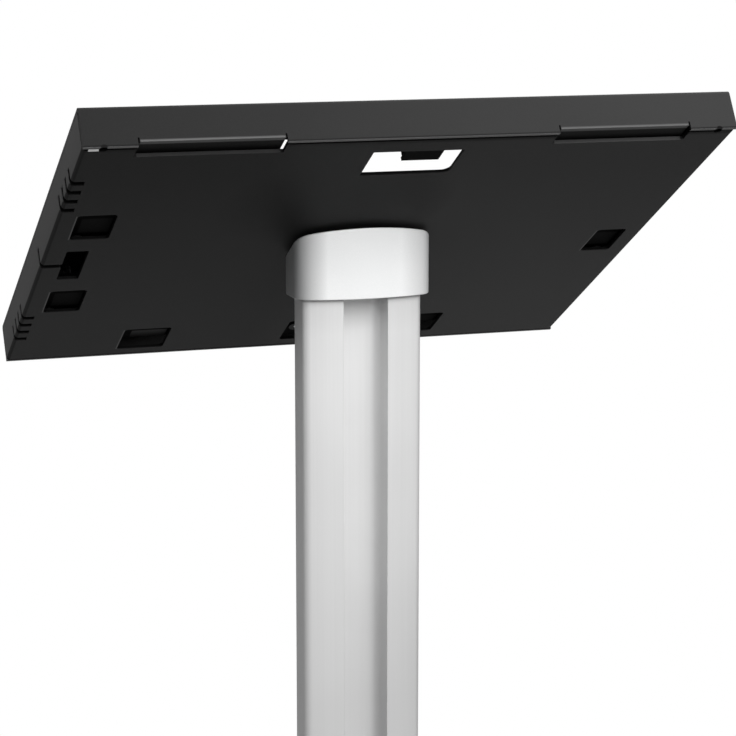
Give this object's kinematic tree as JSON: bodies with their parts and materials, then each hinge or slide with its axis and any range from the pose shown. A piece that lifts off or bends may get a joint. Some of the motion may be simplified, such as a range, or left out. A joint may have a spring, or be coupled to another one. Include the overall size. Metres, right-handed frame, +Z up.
{
  "type": "tablet floor stand",
  "caption": "Floor stand with a square steel base, a telescopic silver mast and a sloping black steel tablet enclosure that swivels, opens on hooks and locks.",
  "frame": {"origin": "on the floor, on the vertical axis of the mast, at the middle of the base plate", "axes": "+Z up, +Y towards the screen side where the user stands, +X to the right seen from behind"},
  "size_m": [0.38, 0.38, 1.1492],
  "materials": {
    "black_powder": "fine textured black powder coat",
    "black_sheet": "fine satin black powder coat on steel sheet",
    "black_bracket": "black powder coat",
    "black_cast": "black powder coat on cast aluminium",
    "black_rubber": "matt rubber",
    "black_foam": "closed cell foam",
    "black_nylon": "moulded nylon",
    "natural_nylon": "turned nylon",
    "white_plastic": "smooth moulded light grey plastic",
    "satin_aluminium": "satin silver anodised extrusion",
    "cast_aluminium": "as cast with a machined top",
    "zinc_steel": "bright zinc plate",
    "black_oxide": "black oxide on small steel fixings",
    "spring_steel": "dark spring steel",
    "bare_steel": "plain steel plate",
    "chrome": "polished plate",
    "brass": "turned brass"
  },
  "bodies": {
    "base": {"base_plate": "black_powder", "rubber_feet": "black_rubber", "column_foot": "black_powder", "base_screws": "zinc_steel", "lower_column": "satin_aluminium", "cross_screws": "zinc_steel", "cable_grommet": "black_rubber", "guide_bush": "black_nylon", "clamp_housing": "black_cast", "brake_pad": "brass"},
    "knob": {"clamp_screw": "zinc_steel", "clamp_knob": "black_nylon"},
    "mast": {"mast": "satin_aluminium", "glide_shoe": "black_nylon", "glide_screws": "zinc_steel", "collar": "white_plastic", "head_block": "cast_aluminium", "head_screws": "zinc_steel", "friction_washer": "natural_nylon", "pivot_bolt": "zinc_steel", "disc_springs": "spring_steel", "pivot_nut": "zinc_steel", "stop_pin": "spring_steel"},
    "enclosure": {"rear_tray": "black_sheet", "swivel_plate": "bare_steel", "top_bracket": "black_bracket", "left_upper_bracket": "black_bracket", "left_lower_bracket": "black_bracket", "right_bracket": "black_bracket", "bottom_left_bracket": "black_bracket", "bottom_right_bracket": "black_bracket", "bracket_nuts": "black_oxide", "support_pads": "black_foam", "edge_pads": "black_foam", "lock_plate": "black_bracket", "lock_barrel": "black_oxide", "lock_nut": "zinc_steel"},
    "cover": {"front_cover": "black_sheet", "window_gasket": "black_foam"},
    "lock": {"lock_plug": "chrome", "lock_cam": "zinc_steel", "cam_screw": "zinc_steel"}
  },
  "joints": [
    {"name": "mast_height", "type": "slide", "parent": "base", "child": "mast", "axis": [0, 0, 1], "range_m": [-0.265, 0.135]},
    {"name": "clamp_turn", "type": "hinge", "parent": "base", "child": "knob", "pos_m": [0, 0, 0.754], "axis": [1, 0, 0], "range_deg": [0, 360]},
    {"name": "enclosure_swivel", "type": "hinge", "parent": "mast", "child": "enclosure", "pos_m": [0, 0.007, 1.074], "axis": [0, 0.515, 0.8572], "range_deg": [0, 90]},
    {"name": "cover_swing", "type": "hinge", "parent": "enclosure", "child": "cover", "pos_m": [0, -0.09157, 1.13323], "axis": [1, 0, 0], "range_deg": [0, 80]},
    {"name": "lock_turn", "type": "hinge", "parent": "enclosure", "child": "lock", "pos_m": [0, 0.09992, 1.02983], "axis": [0, 0.515, 0.8572], "range_deg": [0, 90]}
  ]
}
